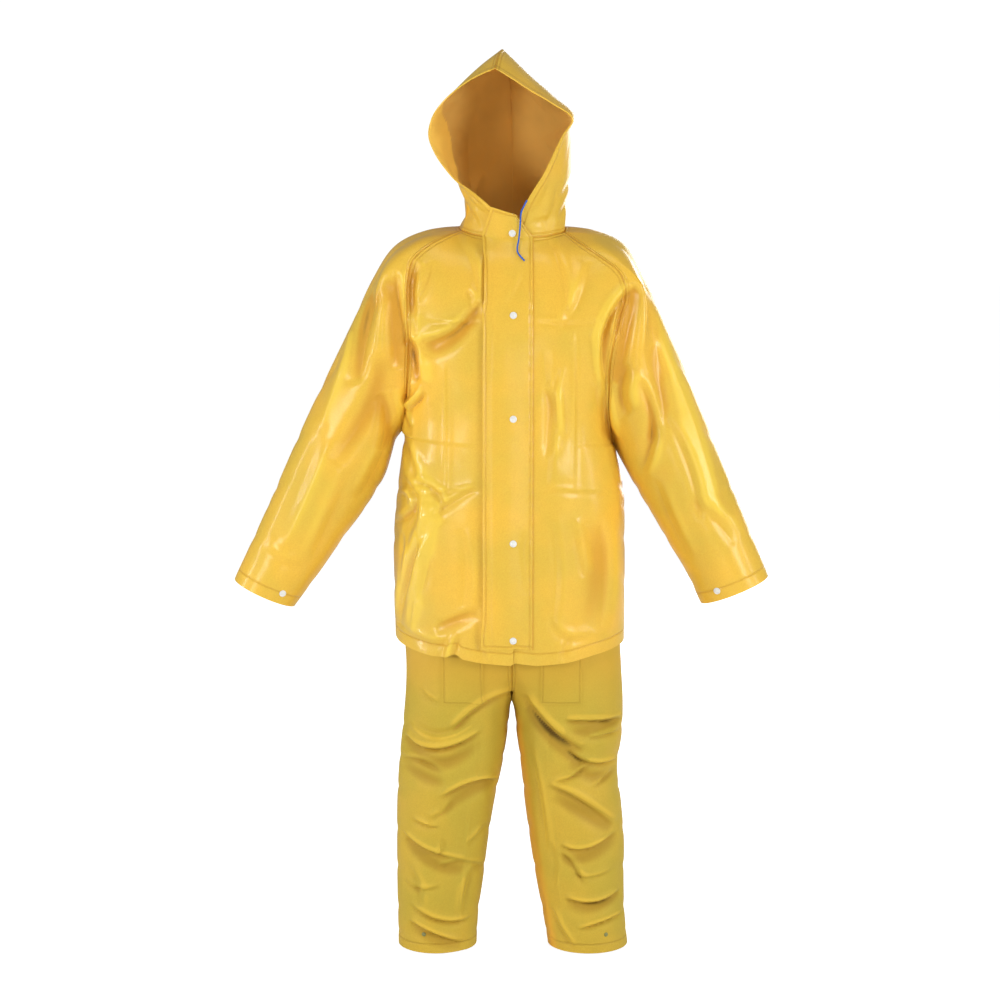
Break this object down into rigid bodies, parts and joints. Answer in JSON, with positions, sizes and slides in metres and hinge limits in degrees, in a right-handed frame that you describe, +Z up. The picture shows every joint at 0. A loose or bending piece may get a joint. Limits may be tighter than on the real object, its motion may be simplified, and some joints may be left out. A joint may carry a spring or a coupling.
{
  "type": "hooded rain suit, jacket and trousers, worn",
  "caption": "Hooded waterproof jacket with a snapped storm flap and drawstring, and matching trousers, hollow and shaped as worn.",
  "frame": {"origin": "on the wearer's shoulders, in the middle of the neck seam, where the wearer holds the jacket up", "axes": "+Z up, the front faces -Y, +X towards the wearer's left"},
  "size_m": [1.0408, 0.3256, 1.7639],
  "materials": {
    "jacket_cloth": "glossy coated yellow cloth",
    "trouser_cloth": "duller yellow coated cloth",
    "snap": "white snap caps",
    "stud": "dull olive studs",
    "cord": "blue braided cord"
  },
  "bodies": {
    "root": {"front_right": "jacket_cloth", "front_left": "jacket_cloth", "back": "jacket_cloth", "sleeve_right": "jacket_cloth", "sleeve_left": "jacket_cloth", "hood_right": "jacket_cloth", "hood_left": "jacket_cloth", "storm_flap": "jacket_cloth", "front_snap_1": "snap", "front_snap_2": "snap", "front_snap_3": "snap", "front_snap_4": "snap", "front_snap_5": "snap", "cuff_snap_right": "snap", "cuff_snap_left": "snap", "drawstring": "cord", "trouser_front_right": "trouser_cloth", "trouser_front_left": "trouser_cloth", "trouser_back_right": "trouser_cloth", "trouser_back_left": "trouser_cloth", "waistband": "trouser_cloth", "pocket_right": "trouser_cloth", "pocket_left": "trouser_cloth", "ankle_stud_right": "stud", "ankle_stud_left": "stud"}
  },
  "joints": []
}
